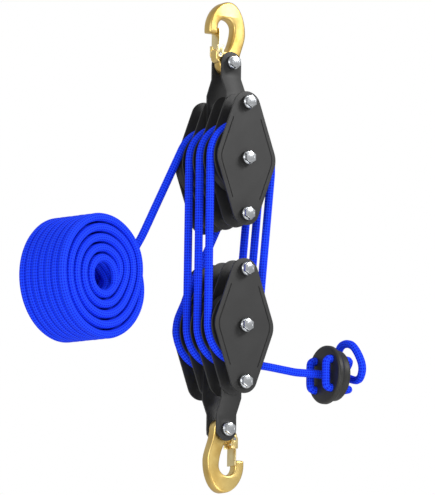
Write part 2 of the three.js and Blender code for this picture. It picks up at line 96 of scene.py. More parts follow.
# %% Camera
IMAGE_WIDTH = 435
IMAGE_HEIGHT = 495
MM_PER_PIXEL = 1.17
AZIMUTH = math.radians(-32)
ELEVATION = math.radians(-8.6)
ROLL = math.radians(0.83)
CAMERA_DISTANCE = 6.0
SENSOR_WIDTH = 36
FARTHEST_SEEN = 50
AXIS_PIXEL_X = 223.8
AXIS_HEIGHT = -270.8
back = Vector((
    math.sin(AZIMUTH) * math.cos(ELEVATION),
    -math.cos(AZIMUTH) * math.cos(ELEVATION),
    math.sin(ELEVATION),
))
level_right = Vector((math.cos(AZIMUTH), math.sin(AZIMUTH), 0))
level_up = back.cross(level_right)
right = level_right * math.cos(ROLL) + level_up * math.sin(ROLL)
up = level_up * math.cos(ROLL) - level_right * math.sin(ROLL)
axes = Matrix((right, up, back)).transposed().to_4x4()
middle = Vector((0, 0, AXIS_HEIGHT * MM))
target = middle + right * ((IMAGE_WIDTH / 2 - AXIS_PIXEL_X) * MM_PER_PIXEL * MM)
lens_data = bpy.data.cameras.new("camera")
lens_data.sensor_width = SENSOR_WIDTH
lens_data.lens = SENSOR_WIDTH * CAMERA_DISTANCE / (IMAGE_HEIGHT * MM_PER_PIXEL * MM)
lens_data.clip_end = FARTHEST_SEEN
camera = bpy.data.objects.new("camera", lens_data)
bpy.context.scene.collection.objects.link(camera)
camera.matrix_world = Matrix.Translation(target + back * CAMERA_DISTANCE) @ axes
bpy.context.scene.camera = camera
print("lens", round(lens_data.lens), "mm")

# %% [markdown]
# A material is a few connected nodes. They could be wired by hand for each finish, but one function
# that adds a node with its settings and links keeps every finish short. Another turns the hex
# colours of a paint chart into the linear values that a shader needs.

# %% Material helpers
def linear(code):
    """An sRGB hex colour as linear red, green and blue with a full alpha."""
    channels = [int(code[i : i + 2], 16) / 255 for i in (1, 3, 5)]
    return [c / 12.92 if c <= 0.04045 else ((c + 0.055) / 1.055) ** 2.4 for c in channels] + [1]


def add(material, kind, settings=None, **links):
    """One node. A link is named after its input, or i and a number where inputs share a name."""
    node = material.node_tree.nodes.new(kind)
    for key, value in (settings or {}).items():
        if isinstance(key, int) or key in node.inputs:
            node.inputs[key].default_value = value
        else:
            setattr(node, key, value)
    for key, socket in links.items():
        by_number = key[0] == "i" and key[1:].isdigit()
        place = int(key[1:]) if by_number else key.replace("_", " ")
        material.node_tree.links.new(socket, node.inputs[place])
    return node


def new_material(name, **values):
    material = bpy.data.materials.new(name)
    material.use_nodes = True
    shader = material.node_tree.nodes["Principled BSDF"]
    for key, value in values.items():
        shader.inputs[key.replace("_", " ")].default_value = value
    return material, shader


def connect(material, shader, **sockets):
    """Links outputs to the shader's inputs, which are named with _ for a space."""
    for key, socket in sockets.items():
        material.node_tree.links.new(socket, shader.inputs[key.replace("_", " ")])


print("paint-chart grey #808080 is", round(linear("#808080")[0], 3), "in linear light")

# %% [markdown]
# Paint, moulded nylon and plated steel all vary a little in colour from place to place and carry a
# fine grain. An image could give both, but a noise in object space needs no unwrapping and keeps
# its real size. So broad clouds mix two near colours, and a fine grain sets roughness and bump.

# %% Grained finishes
CLOUD_MM = 25.0
CLOUD_DETAIL = 3.0
CLOUD_START_SHARE = 0.35
CLOUD_END_SHARE = 0.65
GRAIN_DETAIL = 4.0
GRAIN_DEPTH_MM = 0.2


def grained(name, dark, light, grain_mm, bump, smoothest, roughest, **values):
    material, shader = new_material(name, **values)
    place = add(material, "ShaderNodeTexCoord").outputs["Object"]
    fine = {"Scale": 1 / (grain_mm * MM), "Detail": GRAIN_DETAIL}
    grain = add(material, "ShaderNodeTexNoise", fine, Vector=place).outputs["Fac"]
    broad = {"Scale": 1 / (CLOUD_MM * MM), "Detail": CLOUD_DETAIL}
    clouds = add(material, "ShaderNodeTexNoise", broad, Vector=place).outputs["Fac"]
    colour = add(material, "ShaderNodeValToRGB", Fac=clouds)
    first, second = colour.color_ramp.elements
    first.color = linear(dark)
    first.position = CLOUD_START_SHARE
    second.color = linear(light)
    second.position = CLOUD_END_SHARE
    limits = {"To Min": smoothest, "To Max": roughest}
    rough = add(material, "ShaderNodeMapRange", limits, Value=grain)
    depth = {"Strength": bump, "Distance": GRAIN_DEPTH_MM * MM}
    height = add(material, "ShaderNodeBump", depth, Height=grain)
    connect(
        material, shader, Base_Color=colour.outputs["Color"],
        Roughness=rough.outputs["Result"], Normal=height.outputs["Normal"],
    )
    return material


# %% [markdown]
# The blacks are powder coat on pressed steel and moulded nylon. Both are dark greys rather than
# true black, because even black paint returns some light, and their satin shows the form.

# %% Paint and nylon
# Powder coat: a dark grey satin with a fine orange-peel
powder_coat = grained(
    "black_powder_coat", "#1c1c1c", "#212121", grain_mm=0.6, bump=0.25, smoothest=0.45, roughest=0.55
)
# The same coat on the groove floors, painted near black as shade in the recess, and duller
groove_painted_shade = grained(
    "painted_shade_groove_coat", "#050505", "#080808", grain_mm=0.6, bump=0.1, smoothest=0.7, roughest=0.8
)
# Moulded nylon: blacker than the paint, with a faint mould texture
black_nylon = grained(
    "moulded_black_nylon", "#161615", "#1d1d1b", grain_mm=0.5, bump=0.2, smoothest=0.42, roughest=0.55
)
print("blacks:", powder_coat.name, groove_painted_shade.name, black_nylon.name)

# %% [markdown]
# The metals are plated or ground steel. A metal's colour is the colour of its reflection, so each
# is fully metallic, and its plating shows in its tint, its clouds and how sharp its gloss is.

# %% Metals
# Bright zinc plate: pale and shiny, slightly cloudy
bright_zinc = grained(
    "bright_zinc_plate", "#b4b7bb", "#cbced1", grain_mm=0.8, bump=0.06, smoothest=0.18, roughest=0.28,
    Metallic=1.0,
)
# Yellow chromate over zinc: gold with browner clouds
yellow_zinc = grained(
    "yellow_zinc_plate", "#c9a455", "#e6ca80", grain_mm=1.6, bump=0.04, smoothest=0.32, roughest=0.4,
    Metallic=1.0,
)
# The same chromate on smooth sheet: thinner and paler, with a sharper gloss
pale_zinc = grained(
    "pale_yellow_zinc_sheet", "#d9bd78", "#f0dfa8", grain_mm=1.4, bump=0.04, smoothest=0.24,
    roughest=0.34, Metallic=1.0,
)
# Ground bearing steel: bare and grey, with a very fine grain
bearing_steel = grained(
    "ground_bearing_steel", "#a9abad", "#c3c5c7", grain_mm=0.3, bump=0.1, smoothest=0.2, roughest=0.32,
    Metallic=1.0,
)
# Drawn spring wire: darker than the plate, with a soft gloss
spring_steel = grained(
    "spring_steel_wire", "#85868a", "#9a9b9e", grain_mm=0.4, bump=0.1, smoothest=0.3, roughest=0.4,
    Metallic=1.0,
)
print("metals:", bright_zinc.name, yellow_zinc.name, pale_zinc.name)

# %% [markdown]
# Braided polyester has two sets of strands winding opposite ways, so its surface is a net of small
# diamonds. They could be modelled strand by strand, but over ten metres that is far too many faces.
# Two crossed sine waves on the rope's own UV draw the same net: U runs once along the rope and V
# once round it, and the rope's length sets how many diamonds fit. The photograph shows a diamond
# every 3 to 4 mm.

# %% Rope finish
STRANDS = 5
DIAMOND_MM = 3.2
NET_LOW = -0.7
NET_HIGH = 0.2
BRAID_BUMP = 0.5
BRAID_DEPTH_MM = 0.4
# Painted shade in the braid's hollows, and the strands' own bright blue
BRAID_PAINTED_SHADE = "#0010c4"
BRAID_BLUE = "#1a48ff"
BRAID_ROUGHNESS = 0.8
BRAID_SHINE = 0.15


def multiplied(material, socket, factor):
    settings = {"operation": "MULTIPLY", 1: factor}
    return add(material, "ShaderNodeMath", settings, i0=socket).outputs[0]


def crossed_waves(material, around, along):
    """The product of the waves of the two sets of strands."""
    waves = []
    for way in ("ADD", "SUBTRACT"):
        phase = add(material, "ShaderNodeMath", {"operation": way}, i0=around, i1=along).outputs[0]
        waves.append(add(material, "ShaderNodeMath", {"operation": "SINE"}, i0=phase).outputs[0])
    product = {"operation": "MULTIPLY"}
    return add(material, "ShaderNodeMath", product, i0=waves[0], i1=waves[1]).outputs[0]


def braided(name, length_mm):
    material, shader = new_material(
        name, Roughness=BRAID_ROUGHNESS, Specular_IOR_Level=BRAID_SHINE
    )
    uv = add(material, "ShaderNodeUVMap", {"uv_map": "UVMap"}).outputs["UV"]
    split = add(material, "ShaderNodeSeparateXYZ", Vector=uv).outputs
    around = multiplied(material, split["Y"], 2 * math.pi * STRANDS)
    along = multiplied(material, split["X"], 2 * math.pi * length_mm / (2 * DIAMOND_MM))
    net = crossed_waves(material, around, along)
    limits = {"From Min": NET_LOW, "From Max": NET_HIGH}
    relief = add(material, "ShaderNodeMapRange", limits, Value=net).outputs["Result"]
    # The net's low hollows are painted the dark blue as shade between the strands, and its crowns the
    # bright blue
    colour = add(material, "ShaderNodeValToRGB", Fac=relief)
    first, second = colour.color_ramp.elements
    first.color = linear(BRAID_PAINTED_SHADE)
    second.color = linear(BRAID_BLUE)
    depth = {"Strength": BRAID_BUMP, "Distance": BRAID_DEPTH_MM * MM}
    height = add(material, "ShaderNodeBump", depth, Height=relief)
    connect(material, shader, Base_Color=colour.outputs["Color"], Normal=height.outputs["Normal"])
    return material


# %% [markdown]
# Every finished piece goes through one function. It names the piece, smooths it except across sharp
# corners, gives it its finish, and makes it ride on its body in place of the CAD solid. The
# place is in the mesh and not on the object, so a pattern in object space stays put when it moves.

# %% Finishing a piece
SOFTEST_CORNER = 35


def finish_piece(name, mesh, material, body, node, smooth_angle=SOFTEST_CORNER):
    mesh.materials.clear()
    mesh.materials.append(material)
    obj = bpy.data.objects.new(name, mesh)
    bpy.context.scene.collection.objects.link(obj)
    mesh.shade_smooth()
    mesh.set_sharp_from_angle(angle=math.radians(smooth_angle))
    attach(obj, body)
    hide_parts(node)
    return obj


def mesh_from(bm, name, matrix=None):
    bmesh.ops.recalc_face_normals(bm, faces=bm.faces)
    mesh = bpy.data.meshes.new(name)
    if matrix is not None:
        bm.transform(matrix)
    bm.to_mesh(mesh)
    bm.free()
    return mesh


def moved(mesh, name, matrix):
    copy = mesh.copy()
    copy.name = name
    copy.transform(matrix)
    return copy


# %% [markdown]
# Sheaves, flanges, bosses and the stopper are round, so they are made as on a lathe. A Screw
# modifier would do it too, but the spin operator closes the ring at once and leaves plain faces.

# %% Turned pieces
MERGE_DISTANCE = 1e-6


def spun(name, profile, steps):
    """A closed profile of (radius, y) in millimetres turned about the Y axis."""
    bm = bmesh.new()
    verts = [bm.verts.new((r * MM, y * MM, 0)) for r, y in profile]
    edges = [bm.edges.new(pair) for pair in zip(verts, verts[1:] + verts[:1])]
    bmesh.ops.spin(
        bm, geom=verts + edges, cent=(0, 0, 0), axis=(0, 1, 0), angle=2 * math.pi, steps=steps,
        use_merge=True,
    )
    bmesh.ops.remove_doubles(bm, verts=bm.verts, dist=MERGE_DISTANCE)
    return mesh_from(bm, name)


def arc(x, z, radius, start, end, steps):
    """Points along part of a circle, both ends among them."""
    angles = [start + (end - start) * i / steps for i in range(steps + 1)]
    return [(x + radius * math.cos(a), z + radius * math.sin(a)) for a in angles]


# %% [markdown]
# Plates and hooks are flat shapes with rounded edges. An extrude and a bevel in bmesh could make
# them, but a filled 2D curve has its thickness, its edge radius and an inward offset as settings, so
# the outline stays the real outer one. The curve is then turned into a mesh.

# %% Flat pieces
def flat_solid(name, loop, thickness, edge, centre_y=0.0):
    """A loop of (x, z) in millimetres, filled, given a thickness along Y and rounded edges."""
    data = bpy.data.curves.new(name, "CURVE")
    data.dimensions = "2D"
    data.fill_mode = "BOTH"
    data.extrude = (thickness / 2 - edge) * MM
    data.bevel_depth = edge * MM
    data.offset = -edge * MM
    data.bevel_resolution = 2
    spline = data.splines.new("POLY")
    spline.points.add(len(loop) - 1)
    for point, (x, z) in zip(spline.points, loop):
        point.co = (x * MM, z * MM, 0, 1)
    spline.use_cyclic_u = True
    holder = bpy.data.objects.new(name, data)
    bpy.context.scene.collection.objects.link(holder)
    graph = bpy.context.evaluated_depsgraph_get()
    mesh = bpy.data.meshes.new_from_object(holder.evaluated_get(graph))
    bpy.data.objects.remove(holder)
    bm = bmesh.new()
    bm.from_mesh(mesh)
    bpy.data.meshes.remove(mesh)
    bmesh.ops.remove_doubles(bm, verts=bm.verts, dist=MERGE_DISTANCE)
    return mesh_from(bm, name, shift(0, centre_y, 0) @ Matrix.Rotation(math.pi / 2, 4, "X"))


# %% [markdown]
# Grooves and holes are cut as a tool would cut them, by a solid that is taken away. bmesh has no
# such operator, so a Boolean modifier does it on a throwaway object and its result is kept.

# %% Cutting
def cut(mesh, cutter_mesh):
    """The first mesh less the second."""
    body = bpy.data.objects.new("cut_body", mesh)
    tool = bpy.data.objects.new("cut_tool", cutter_mesh)
    for obj in (body, tool):
        bpy.context.scene.collection.objects.link(obj)
    boolean = body.modifiers.new("cut", "BOOLEAN")
    boolean.object = tool
    boolean.operation = "DIFFERENCE"
    graph = bpy.context.evaluated_depsgraph_get()
    result = bpy.data.meshes.new_from_object(body.evaluated_get(graph))
    for obj in (body, tool):
        bpy.data.objects.remove(obj)
    return result


# %% [markdown]
# All the rope is drawn as curves with a round bevel, because a curve keeps one thickness however it
# bends. A path is first laid out in corners and arcs, then spaced evenly, then smoothed, which
# rounds the corners as a stiff rope would.

# %% Rope paths
SHEAVE_STEP = math.radians(6)


def even(points, step_mm):
    """The same path as points a fixed step apart, and its length."""
    lengths = [0.0]
    for a, b in zip(points, points[1:]):
        lengths.append(lengths[-1] + (b - a).length)
    count = max(2, round(lengths[-1] / step_mm))
    spaced = []
    leg = 0
    for i in range(count + 1):
        want = lengths[-1] * i / count
        while leg < len(points) - 2 and lengths[leg + 1] < want:
            leg += 1
        span = lengths[leg + 1] - lengths[leg]
        share = (want - lengths[leg]) / span if span else 0
        spaced.append(points[leg].lerp(points[leg + 1], share))
    return spaced, lengths[-1]


def smoothed(points, passes):
    """Each point drawn towards its two neighbours, again and again, with the ends kept."""
    for _ in range(passes):
        inner = [(a + 2 * b + c) / 4 for a, b, c in zip(points, points[1:], points[2:])]
        points = [points[0]] + inner + [points[-1]]
    return points


def round_sheave(y, z, start, end):
    """The rope's path round a sheave whose axle is at height z."""
    steps = max(2, round(abs(end - start) / SHEAVE_STEP))
    return [Vector((x, y, h)) for x, h in arc(0, z, PATH_RADIUS, start, end, steps)]


def rope_curve(name, points, length_mm):
    data = bpy.data.curves.new(name, "CURVE")
    data.dimensions = "3D"
    data.bevel_depth = ROPE_RADIUS * MM
    data.bevel_resolution = 4
    data.use_fill_caps = True
    spline = data.splines.new("POLY")
    spline.points.add(len(points) - 1)
    for point, place in zip(spline.points, points):
        point.co = (*(place * MM), 1)
    data.materials.append(braided(f"{name}_braid", length_mm))
    rope = bpy.data.objects.new(name, data)
    bpy.context.scene.collection.objects.link(rope)
    return rope


# %% [markdown]
# The coil hangs beside the blocks with its axis turned a little from theirs. Its face shows five
# turns. The layers behind them can't be counted, and seven fill the depth that shows. The rope could
# be one flat spiral, but a wound coil has round turns with a short jog from each to the next. Here
# the jogs lie on the side that faces the blocks.

# %% Coil
COIL_YAW = math.radians(16.6)
LAYERS = 7
TURNS = 5
LAYER_PITCH = 10.15
TURN_PITCH = 11.6
OUTER_TURN = 67.75
POINTS_PER_TURN = 60
JOG_START_SHARE = 0.8
JOIN_ANGLE = math.radians(-29.8)
coil_centre = Vector((-196.9, -11.4, -325.7))
coil_in = Vector((-math.sin(COIL_YAW), math.cos(COIL_YAW), 0))
coil_across = Vector((math.cos(COIL_YAW), math.sin(COIL_YAW), 0))


def turn_places():
    """The (radius, depth) of every turn, from the back layer to the front, in and out by turns."""
    places = []
    for layer in range(LAYERS - 1, -1, -1):
        inward = (LAYERS - 1 - layer) % 2 == 0
        rings = range(TURNS) if inward else range(TURNS - 1, -1, -1)
        depth = (layer - (LAYERS - 1) / 2) * LAYER_PITCH
        places += [(OUTER_TURN - ring * TURN_PITCH, depth) for ring in rings]
    return places


def coil_point(here, there, step):
    """A point on one turn, easing over to the next turn's place in its last stretch."""
    share = max(0.0, (step / POINTS_PER_TURN - JOG_START_SHARE) / (1 - JOG_START_SHARE))
    share = share * share * (3 - 2 * share)
    radius = here[0] + (there[0] - here[0]) * share
    depth = here[1] + (there[1] - here[1]) * share
    angle = JOIN_ANGLE - 2 * math.pi * step / POINTS_PER_TURN
    across = coil_across * (radius * math.cos(angle)) + Vector((0, 0, radius * math.sin(angle)))
    return coil_centre + coil_in * depth + across


places = turn_places()
pairs = zip(places, places[1:] + places[-1:])
coil = [coil_point(here, there, step) for here, there in pairs for step in range(POINTS_PER_TURN)]
print("coil of", len(places), "turns")

# %% [markdown]
# The hauling end leaves the last upper sheave at a slant and runs down to the coil's outermost turn
# at the back. The coil and this stretch are one rope, so they are one curve, from the sheave to the
# cut end inside the front layer.

# %% Haul line
HAUL_LEAN = math.radians(26)
HAUL_STEP = 3.2
HAUL_SMOOTHING = 5
departure = math.pi - HAUL_LEAN
leave = round_sheave(bay(SHEAVES - 1), UPPER_AXLE, departure, departure)[0]
haul = [
    leave + Vector((-GAP * math.sin(HAUL_LEAN), 0, -GAP * math.cos(HAUL_LEAN))),
    Vector((-72.8, 35, -224.5)),
    Vector((-90.3, 35, -260.5)),
    Vector((-110, 34.9, -293.4)),
    Vector((-136, 34.7, -336.9)),
]
path, haul_length = even(haul + coil, HAUL_STEP)
haul_rope = rope_curve("haul_rope", smoothed(path, HAUL_SMOOTHING), haul_length)
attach(haul_rope, "upper_block")
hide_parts("haul_line", "rope_coil")
print("haul rope", round(haul_length), "mm")

# %% [markdown]
# The stopper is a thick round button of moulded nylon with a wide lip, a narrower back and five
# holes. It is turned from one profile, and the holes are cut afterwards, so that the rope really
# passes through them.

# %% Stopper disc
DISC_RADIUS = 34.5
DISC_REAR = 30.0
DISC_THICKNESS = 20.0
DISC_ROUNDING = 3.0
HOLE_REACH = 17.0
HOLE_RADIUS = 5.35
OVERRUN = 1.0
QUARTER_TURN = math.pi / 2
disc_face = Vector((118, bay(0), -414.8))
disc_profile = [(0, 0)]
lip_centre = DISC_RADIUS - DISC_ROUNDING
disc_profile += arc(lip_centre, DISC_ROUNDING, DISC_ROUNDING, -QUARTER_TURN, 0, steps=8)
# The side draws in from the lip to a slight waist and out again to the back
disc_profile += [(DISC_RADIUS, 6), (32.6, 7.6), (31, 9), (30.2, 10.5), (29.8, 12), (DISC_REAR, 15)]
rear_centre = (DISC_REAR - DISC_ROUNDING, DISC_THICKNESS - DISC_ROUNDING)
disc_profile += arc(*rear_centre, DISC_ROUNDING, 0, QUARTER_TURN, steps=8)
disc_profile += [(0, DISC_THICKNESS)]
disc_mesh = spun("disc", disc_profile, steps=96)
far = DISC_THICKNESS + OVERRUN
hole_profile = [(0, -OVERRUN), (HOLE_RADIUS, -OVERRUN), (HOLE_RADIUS, far), (0, far)]
hole = spun("hole", hole_profile, steps=32)
hole_places = [(0, 0)] + [(a * HOLE_REACH, b * HOLE_REACH) for a in (-1, 1) for b in (-1, 1)]
for x, z in hole_places:
    disc_mesh = cut(disc_mesh, moved(hole, "hole_copy", shift(x, 0, z)))
disc_mesh.transform(Matrix.Translation(disc_face * MM) @ Matrix.Rotation(-QUARTER_TURN, 4, "Z"))
disc = finish_piece(
    "stopper_disc_turned", disc_mesh, black_nylon, "lower_block", "stopper_disc"
)
print("stopper with", len(hole_places), "holes")

# %% [markdown]
# The standing end runs out to the stopper, goes through its centre hole, and is laced through the
# four outer holes, with a loose loop and a cut end behind. Its corners are listed, first
# along the line and then from the middle of the disc's face. The loose loop is smoothed far more
# than the laced part, which lies tight.

# %% Stopper line
LACE_BEND = 7.0
TAIL_LENGTH = 180.0
LINE_STEP = 1.5
LACE_SMOOTHING = 14
TAIL_SMOOTHING = 60
behind = DISC_THICKNESS + LACE_BEND
before = -LACE_BEND
aside = HOLE_REACH
approach = [
    (GAP, bay(0), LOWER_AXLE - PATH_RADIUS), (40, bay(0), -411.6), (80, bay(0), -415.4),
    (106, bay(0), -414.8),
]
lace = [
    (behind, 0, 0), (behind, -aside, aside), (before, -aside, aside), (before, -aside, -aside),
    (behind, -aside, -aside), (behind, aside, -aside), (before, aside, -aside),
    (before, aside, aside), (behind + 2, aside, aside), (behind + 4, 12, 40),
    (behind + 4, -16, 38), (behind + 12, -28, 10), (behind + 14, -16, -8), (behind + 12, 14, 2),
    (behind - 6, 47, 21),
]
corners = [Vector(corner) for corner in approach]
corners += [disc_face + Vector(corner) for corner in lace]
line, _ = even(corners, LINE_STEP)
line = smoothed(line, LACE_SMOOTHING)
tail_start = len(line) - round(TAIL_LENGTH / LINE_STEP)
line = line[:tail_start] + smoothed(line[tail_start:], TAIL_SMOOTHING)
line, stopper_length = even(line, LINE_STEP)
stopper_line = rope_curve("stopper_line_braided", line, stopper_length)
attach(stopper_line, "lower_block")
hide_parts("stopper_line")
print("stopper line", round(stopper_length), "mm")

# %% [markdown]
# The rope between the blocks is taut, so it is circles round the sheaves and straight falls between
# them. It goes from bay to bay on the right-hand falls and crosses over once in the last bay. It
# belongs to both blocks, so it is turned into a mesh, which is attached to neither block.

# %% Reeved rope
LEAD = 14.0
REEVED_STEP = 3.0
REEVED_SMOOTHING = 2
cross = math.asin(2 * PATH_RADIUS / AXLE_SPACING)
route = round_sheave(bay(0), LOWER_AXLE, -math.pi / 2, -math.pi)
for i in range(SHEAVES - 1):
    route += round_sheave(bay(i), UPPER_AXLE, math.pi, 0)
    route.append(Vector((PATH_RADIUS, bay(i), UPPER_AXLE - LEAD)))
    route.append(Vector((PATH_RADIUS, bay(i + 1), LOWER_AXLE + LEAD)))
    last = -math.pi - cross if i == SHEAVES - 2 else -math.pi
    route += round_sheave(bay(i + 1), LOWER_AXLE, 0, last)
route += round_sheave(bay(SHEAVES - 1), UPPER_AXLE, -cross, departure)
points, reeved_length = even(route, REEVED_STEP)
reeved_curve = rope_curve("reeved_curve", smoothed(points, REEVED_SMOOTHING), reeved_length)
braid = reeved_curve.data.materials[0]
graph = bpy.context.evaluated_depsgraph_get()
reeved_mesh = bpy.data.meshes.new_from_object(reeved_curve.evaluated_get(graph))
bpy.data.objects.remove(reeved_curve)
reeved = bpy.data.objects.new("reeved_rope_braided", reeved_mesh)
bpy.context.scene.collection.objects.link(reeved)
reeved_mesh.materials.clear()
reeved_mesh.materials.append(braid)
reeved_mesh.shade_smooth()
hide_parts("reeved_rope")
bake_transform(reeved)
print("reeved rope", round(reeved_length), "mm")

# %% [markdown]
# Each side plate is a pressed steel lozenge. Its outline is two end circles and two side circles
# joined by their common tangents, so a few radii give the whole shape and no point is placed by
# hand. The stamped groove follows the same tangents, a little further in.

# %% Plate outlines
PLATE_THICKNESS = 2.0
PLATE_EDGE = 0.35
HALF_WIDTH = 40.0
HALF_HEIGHT = 79.0
END_RADIUS = 18.5
SIDE_RADIUS = 27.0
GROOVE_INSET = 4.8
GROOVE_WIDTH = 1.4
GROOVE_START_SHARE = 0.3
end_centre = HALF_HEIGHT - END_RADIUS
side_centre = HALF_WIDTH - SIDE_RADIUS
reach = math.hypot(side_centre, end_centre)
tangent = math.acos((END_RADIUS - SIDE_RADIUS) / reach) - math.atan2(end_centre, side_centre)


def plate_loop():
    half_turn = math.pi
    return (
        arc(side_centre, 0, SIDE_RADIUS, -tangent, tangent, steps=16)
        + arc(0, end_centre, END_RADIUS, tangent, half_turn - tangent, steps=28)
        + arc(-side_centre, 0, SIDE_RADIUS, half_turn - tangent, half_turn + tangent, steps=16)
        + arc(0, -end_centre, END_RADIUS, half_turn + tangent, 2 * half_turn - tangent, steps=28)
    )


def groove_loop(side):
    sides = []
    for inset in (GROOVE_INSET, GROOVE_INSET + GROOVE_WIDTH):
        top = arc(0, end_centre, END_RADIUS - inset, tangent, tangent, steps=1)[0]
        bends = arc(side_centre, 0, SIDE_RADIUS - inset, tangent, -tangent, steps=12)
        start = [t + (b - t) * GROOVE_START_SHARE for t, b in zip(top, bends[0])]
        sides.append([tuple(start)] + bends + [(start[0], -start[1])])
    return [(side * x, z) for x, z in sides[0] + sides[1][::-1]]


print("plate outline of", len(plate_loop()), "points")

# %% [markdown]
# The three inner plates are plain. The outer two have a groove down both borders and a raised boss
# at each bolt. No bolt holes are cut, because bosses, heads and shanks cover them.

# %% Plate shapes
GROOVE_DEPTH = 0.6
GROOVE_EDGE = 0.2
END_BOLT_INSET = 13.0
END_BOLT = HALF_HEIGHT - END_BOLT_INSET
BOSS_RADIUS = 8.0
BOSS_HEIGHT = 4.6
BOSS_CHAMFER = 0.5
plate_face = -PLATE_THICKNESS / 2
boss_face = plate_face - BOSS_HEIGHT
divider = flat_solid("divider", plate_loop(), PLATE_THICKNESS, PLATE_EDGE)
outer = flat_solid("outer", plate_loop(), PLATE_THICKNESS, PLATE_EDGE)
for side in (-1, 1):
    groove = flat_solid("groove", groove_loop(side), 2 * GROOVE_DEPTH, GROOVE_EDGE, plate_face)
    outer = cut(outer, groove)
boss_profile = [
    (0, 0), (BOSS_RADIUS, 0), (BOSS_RADIUS, boss_face + BOSS_CHAMFER),
    (BOSS_RADIUS - BOSS_CHAMFER, boss_face), (0, boss_face),
]
boss = spun("boss", boss_profile, steps=48)
bm = bmesh.new()
bm.from_mesh(outer)
for z in (-END_BOLT, 0, END_BOLT):
    bm.from_mesh(moved(boss, "boss_copy", shift(0, 0, z)))
outer = mesh_from(bm, "outer_plate")
print("outer plate", len(outer.polygons), "faces")

# %% [markdown]
# Both blocks use the same two meshes. The last plate of a block is turned so that its bosses face
# out too. The floor of each groove gets the near-black painted shade, and its faces are found by their
# height.

# %% Place the plates
FACING_OUT = 0.9
LEVEL_TOLERANCE = 0.05
floor_level = (plate_face + GROOVE_DEPTH) * MM
floors = [
    face.index for face in outer.polygons
    if face.normal.y < -FACING_OUT and abs(face.center.y - floor_level) < LEVEL_TOLERANCE * MM
]
for block, matrix in BLOCKS.items():
    for i in range(PLATES):
        outside = i in (0, PLATES - 1)
        turn = Matrix.Rotation(math.pi if i == PLATES - 1 else 0, 4, "Z")
        place = matrix @ shift(0, (i - PLATES // 2) * PITCH, 0) @ turn
        name = f"{block}_plate_{i + 1}"
        skin = moved(outer if outside else divider, name, place)
        plate = finish_piece(
            f"{name}_skin", skin, powder_coat, f"{block}_block", name
        )
        if outside:
            # The groove floors take the painted shade, in a second slot
            plate.data.materials.append(groove_painted_shade)
            for face in floors:
                plate.data.polygons[face].material_index = 1
print("groove floors", len(floors), "faces")

# %% [markdown]
# A sheave is a moulded nylon wheel with a deep rope groove, a recessed web and a hub for its
# bearing. All of it is round, so it is one closed profile turned about its axle. The groove is an
# arc about the rope's own centre, a small gap larger than the rope.

# %% Sheaves
SHEAVE_RADIUS = 41.5
SHEAVE_HALF = 7.3
BORE = 11.3
HUB_RADIUS = 16.0
WEB_HALF = 2.5
RIM_RADIUS = 33.0
WEB_SLOPE = 1.0
RIM_ROUNDING = 0.5
RIM_ROUNDING_DEPTH = 0.4
GROOVE_LIP = 6.1
GROOVE_START = math.radians(-150)
GROOVE_END = math.radians(-30)


def sheave_profile():
    groove = arc(0, PATH_RADIUS, ROPE_RADIUS + GAP, GROOVE_START, GROOVE_END, steps=14)
    side = [
        (BORE, -SHEAVE_HALF), (HUB_RADIUS, -SHEAVE_HALF), (HUB_RADIUS + WEB_SLOPE, -WEB_HALF),
        (RIM_RADIUS - WEB_SLOPE, -WEB_HALF), (RIM_RADIUS, -SHEAVE_HALF),
        (SHEAVE_RADIUS - RIM_ROUNDING, -SHEAVE_HALF),
        (SHEAVE_RADIUS, -SHEAVE_HALF + RIM_ROUNDING_DEPTH), (SHEAVE_RADIUS, -GROOVE_LIP),
    ]
    return side + [(r, y) for y, r in groove] + [(r, -y) for r, y in side[::-1]]


wheel = spun("wheel", sheave_profile(), steps=80)
for block, matrix in BLOCKS.items():
    for i in range(SHEAVES):
        name = f"{block}_sheave_{i + 1}"
        skin = moved(wheel, name, matrix @ shift(0, bay(i), 0))
        finish_piece(f"{name}_wheel", skin, black_nylon, name, name)
print("sheave", len(wheel.polygons), "faces")

# %% [markdown]
# The bolts are hex bolts with a round flange under the head, and their nuts have one too. A cone
# primitive with six sides and equal ends is the hex, and a bevel rounds its outer rim. The flange
# and a low ring on the end are turned.

# %% Hex on a flange
ACROSS_FLATS = 13
CORNER_RADIUS = ACROSS_FLATS / math.sqrt(3)
HEX_CHAMFER = 0.8
FLANGE_RADIUS = 8.0
FLANGE_EDGE = 0.8
FLANGE_HEIGHT = 2.0
FLANGE_INSET = 0.4
RING_RADIUS = 5.2
RING_INNER = 4.4
DISH_RADIUS = 4.0
RING_ROOT = 0.5
RING_RISE = 0.1
RING_CROWN = 0.15
DISH_DEPTH = 0.2


def hex_on_flange(name, seat, top):
    """A hex from seat to top along Y, with its flange against the seat."""
    outward = 1 if top > seat else -1
    bm = bmesh.new()
    place = shift(0, (seat + top) / 2, 0) @ Matrix.Rotation(-outward * math.pi / 2, 4, "X")
    bmesh.ops.create_cone(
        bm, cap_ends=True, segments=6, radius1=CORNER_RADIUS * MM, radius2=CORNER_RADIUS * MM,
        depth=abs(top - seat) * MM, matrix=place,
    )
    end = [
        edge for edge in bm.edges
        if all(abs(vert.co.y - top * MM) < MERGE_DISTANCE for vert in edge.verts)
    ]
    bmesh.ops.bevel(
        bm, geom=end, offset=HEX_CHAMFER * MM, segments=2, profile=0.5, affect="EDGES", material=-1
    )
    shoulder = seat + outward * FLANGE_HEIGHT
    flange = [
        (0, seat), (FLANGE_RADIUS, seat), (FLANGE_RADIUS, seat + outward * FLANGE_EDGE),
        (CORNER_RADIUS - FLANGE_INSET, shoulder), (0, shoulder),
    ]
    dish = top - outward * DISH_DEPTH
    ring = [
        (0, top - outward * RING_ROOT), (RING_RADIUS, top - outward * RING_ROOT),
        (RING_RADIUS, top + outward * RING_RISE), (RING_INNER, top + outward * RING_CROWN),
        (DISH_RADIUS, dish), (0, dish),
    ]
    for profile in (flange, ring):
        bm.from_mesh(spun("ring", profile, steps=48))
    return mesh_from(bm, name)


print("hex", round(2 * CORNER_RADIUS, 1), "mm across its corners")

